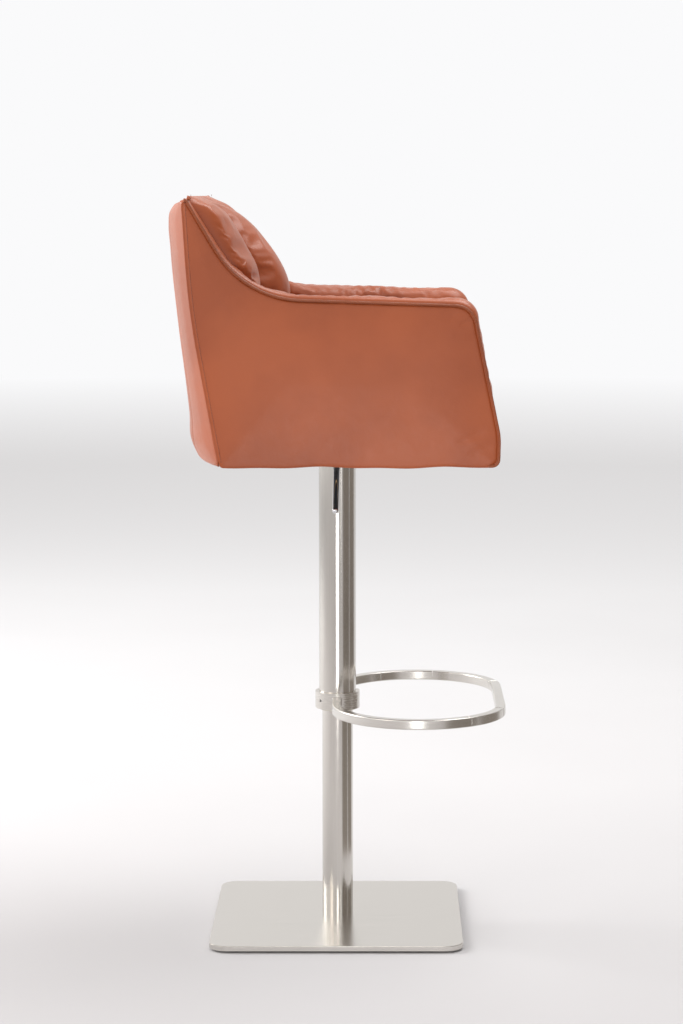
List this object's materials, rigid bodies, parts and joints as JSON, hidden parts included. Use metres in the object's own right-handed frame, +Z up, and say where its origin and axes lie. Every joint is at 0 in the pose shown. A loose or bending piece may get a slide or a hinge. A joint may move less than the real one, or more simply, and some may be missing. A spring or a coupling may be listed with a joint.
{
  "type": "bar stool",
  "caption": "Height-adjustable swivel bar stool: padded tub seat with arms, two-tube column with release lever, footrest ring and square base plate.",
  "frame": {"origin": "on the column's axis, at the floor under the glides", "axes": "+Z up, -Y towards the stool's front, +X towards the sitter's left side"},
  "size_m": [0.512, 0.5421, 1.191],
  "materials": {
    "brushed_plate": "satin stainless steel, fine brushing across the plate",
    "brushed_tube": "stainless steel tube, brushed along its length",
    "brushed_bar": "stainless steel square bar, brushed along its length",
    "lever_chrome": "polished steel rod",
    "zinc_steel": "zinc-plated steel",
    "bearing_steel": "ground and hardened steel",
    "black_steel": "black powder coat",
    "glide_rubber": "black moulded rubber",
    "seal_rubber": "black nitrile rubber",
    "bush_plastic": "natural nylon",
    "plywood": "raw birch plywood",
    "foam_upholstery": "tan faux leather, a coated fabric, over soft foam",
    "outer_upholstery": "tan faux leather, smooth with a fine grain",
    "dust_cloth": "black non-woven cloth"
  },
  "bodies": {
    "base": {"base_plate": "brushed_plate", "floor_glides": "glide_rubber", "base_screws": "zinc_steel", "column_foot": "zinc_steel", "lower_column": "brushed_tube", "guide_bush": "bush_plastic", "bearing_carrier": "zinc_steel", "bearing_lower_race": "bearing_steel", "bearing_balls": "bearing_steel", "ball_cage": "bush_plastic"},
    "spindle": {"bearing_upper_race": "bearing_steel", "piston_rod": "bearing_steel", "piston": "zinc_steel", "piston_seal": "seal_rubber", "bump_stop": "seal_rubber", "rod_washer": "zinc_steel", "rod_clip": "zinc_steel"},
    "seat": {"gas_cylinder": "black_steel", "rod_guide": "bush_plastic", "rod_seal": "seal_rubber", "upper_column": "brushed_tube", "column_bush": "bush_plastic", "footrest_collar": "brushed_tube", "footrest_ring": "brushed_bar", "collar_screws": "zinc_steel", "seat_plate": "black_steel", "plate_screws": "zinc_steel", "tee_nuts": "zinc_steel", "lever_pin": "zinc_steel", "seat_board": "plywood", "frame_screws": "zinc_steel", "side_frame_left": "plywood", "side_frame_right": "plywood", "back_frame": "plywood", "seat_cushion": "foam_upholstery", "back_cushion": "foam_upholstery", "arm_pad_left": "foam_upholstery", "arm_pad_right": "foam_upholstery", "arm_border_left": "foam_upholstery", "arm_border_right": "foam_upholstery", "side_panel_left": "outer_upholstery", "side_panel_right": "outer_upholstery", "rear_panel": "outer_upholstery", "front_apron": "outer_upholstery", "piping_left": "outer_upholstery", "piping_right": "outer_upholstery", "dust_cover": "dust_cloth"},
    "lever": {"lever": "lever_chrome"},
    "valve": {"valve_pin": "bearing_steel"}
  },
  "joints": [
    {"name": "swivel", "type": "hinge", "parent": "base", "child": "spindle", "pos_m": [0, 0, 0.12], "axis": [0, 0, 1], "continuous": true},
    {"name": "seat_height", "type": "slide", "parent": "spindle", "child": "seat", "axis": [0, 0, 1], "range_m": [-0.22, 0]},
    {"name": "lever_pull", "type": "hinge", "parent": "seat", "child": "lever", "pos_m": [-0.028, 0, 0.765], "axis": [0, 1, 0], "range_deg": [0, 6], "stiffness_Nm_per_rad": 8},
    {"name": "valve_press", "type": "slide", "parent": "seat", "child": "valve", "axis": [0, 0, 1], "range_m": [-0.0035, 0]}
  ],
  "couplings": [
    {"joint": "valve_press", "follows": "lever_pull", "m_per_rad": -0.028}
  ]
}
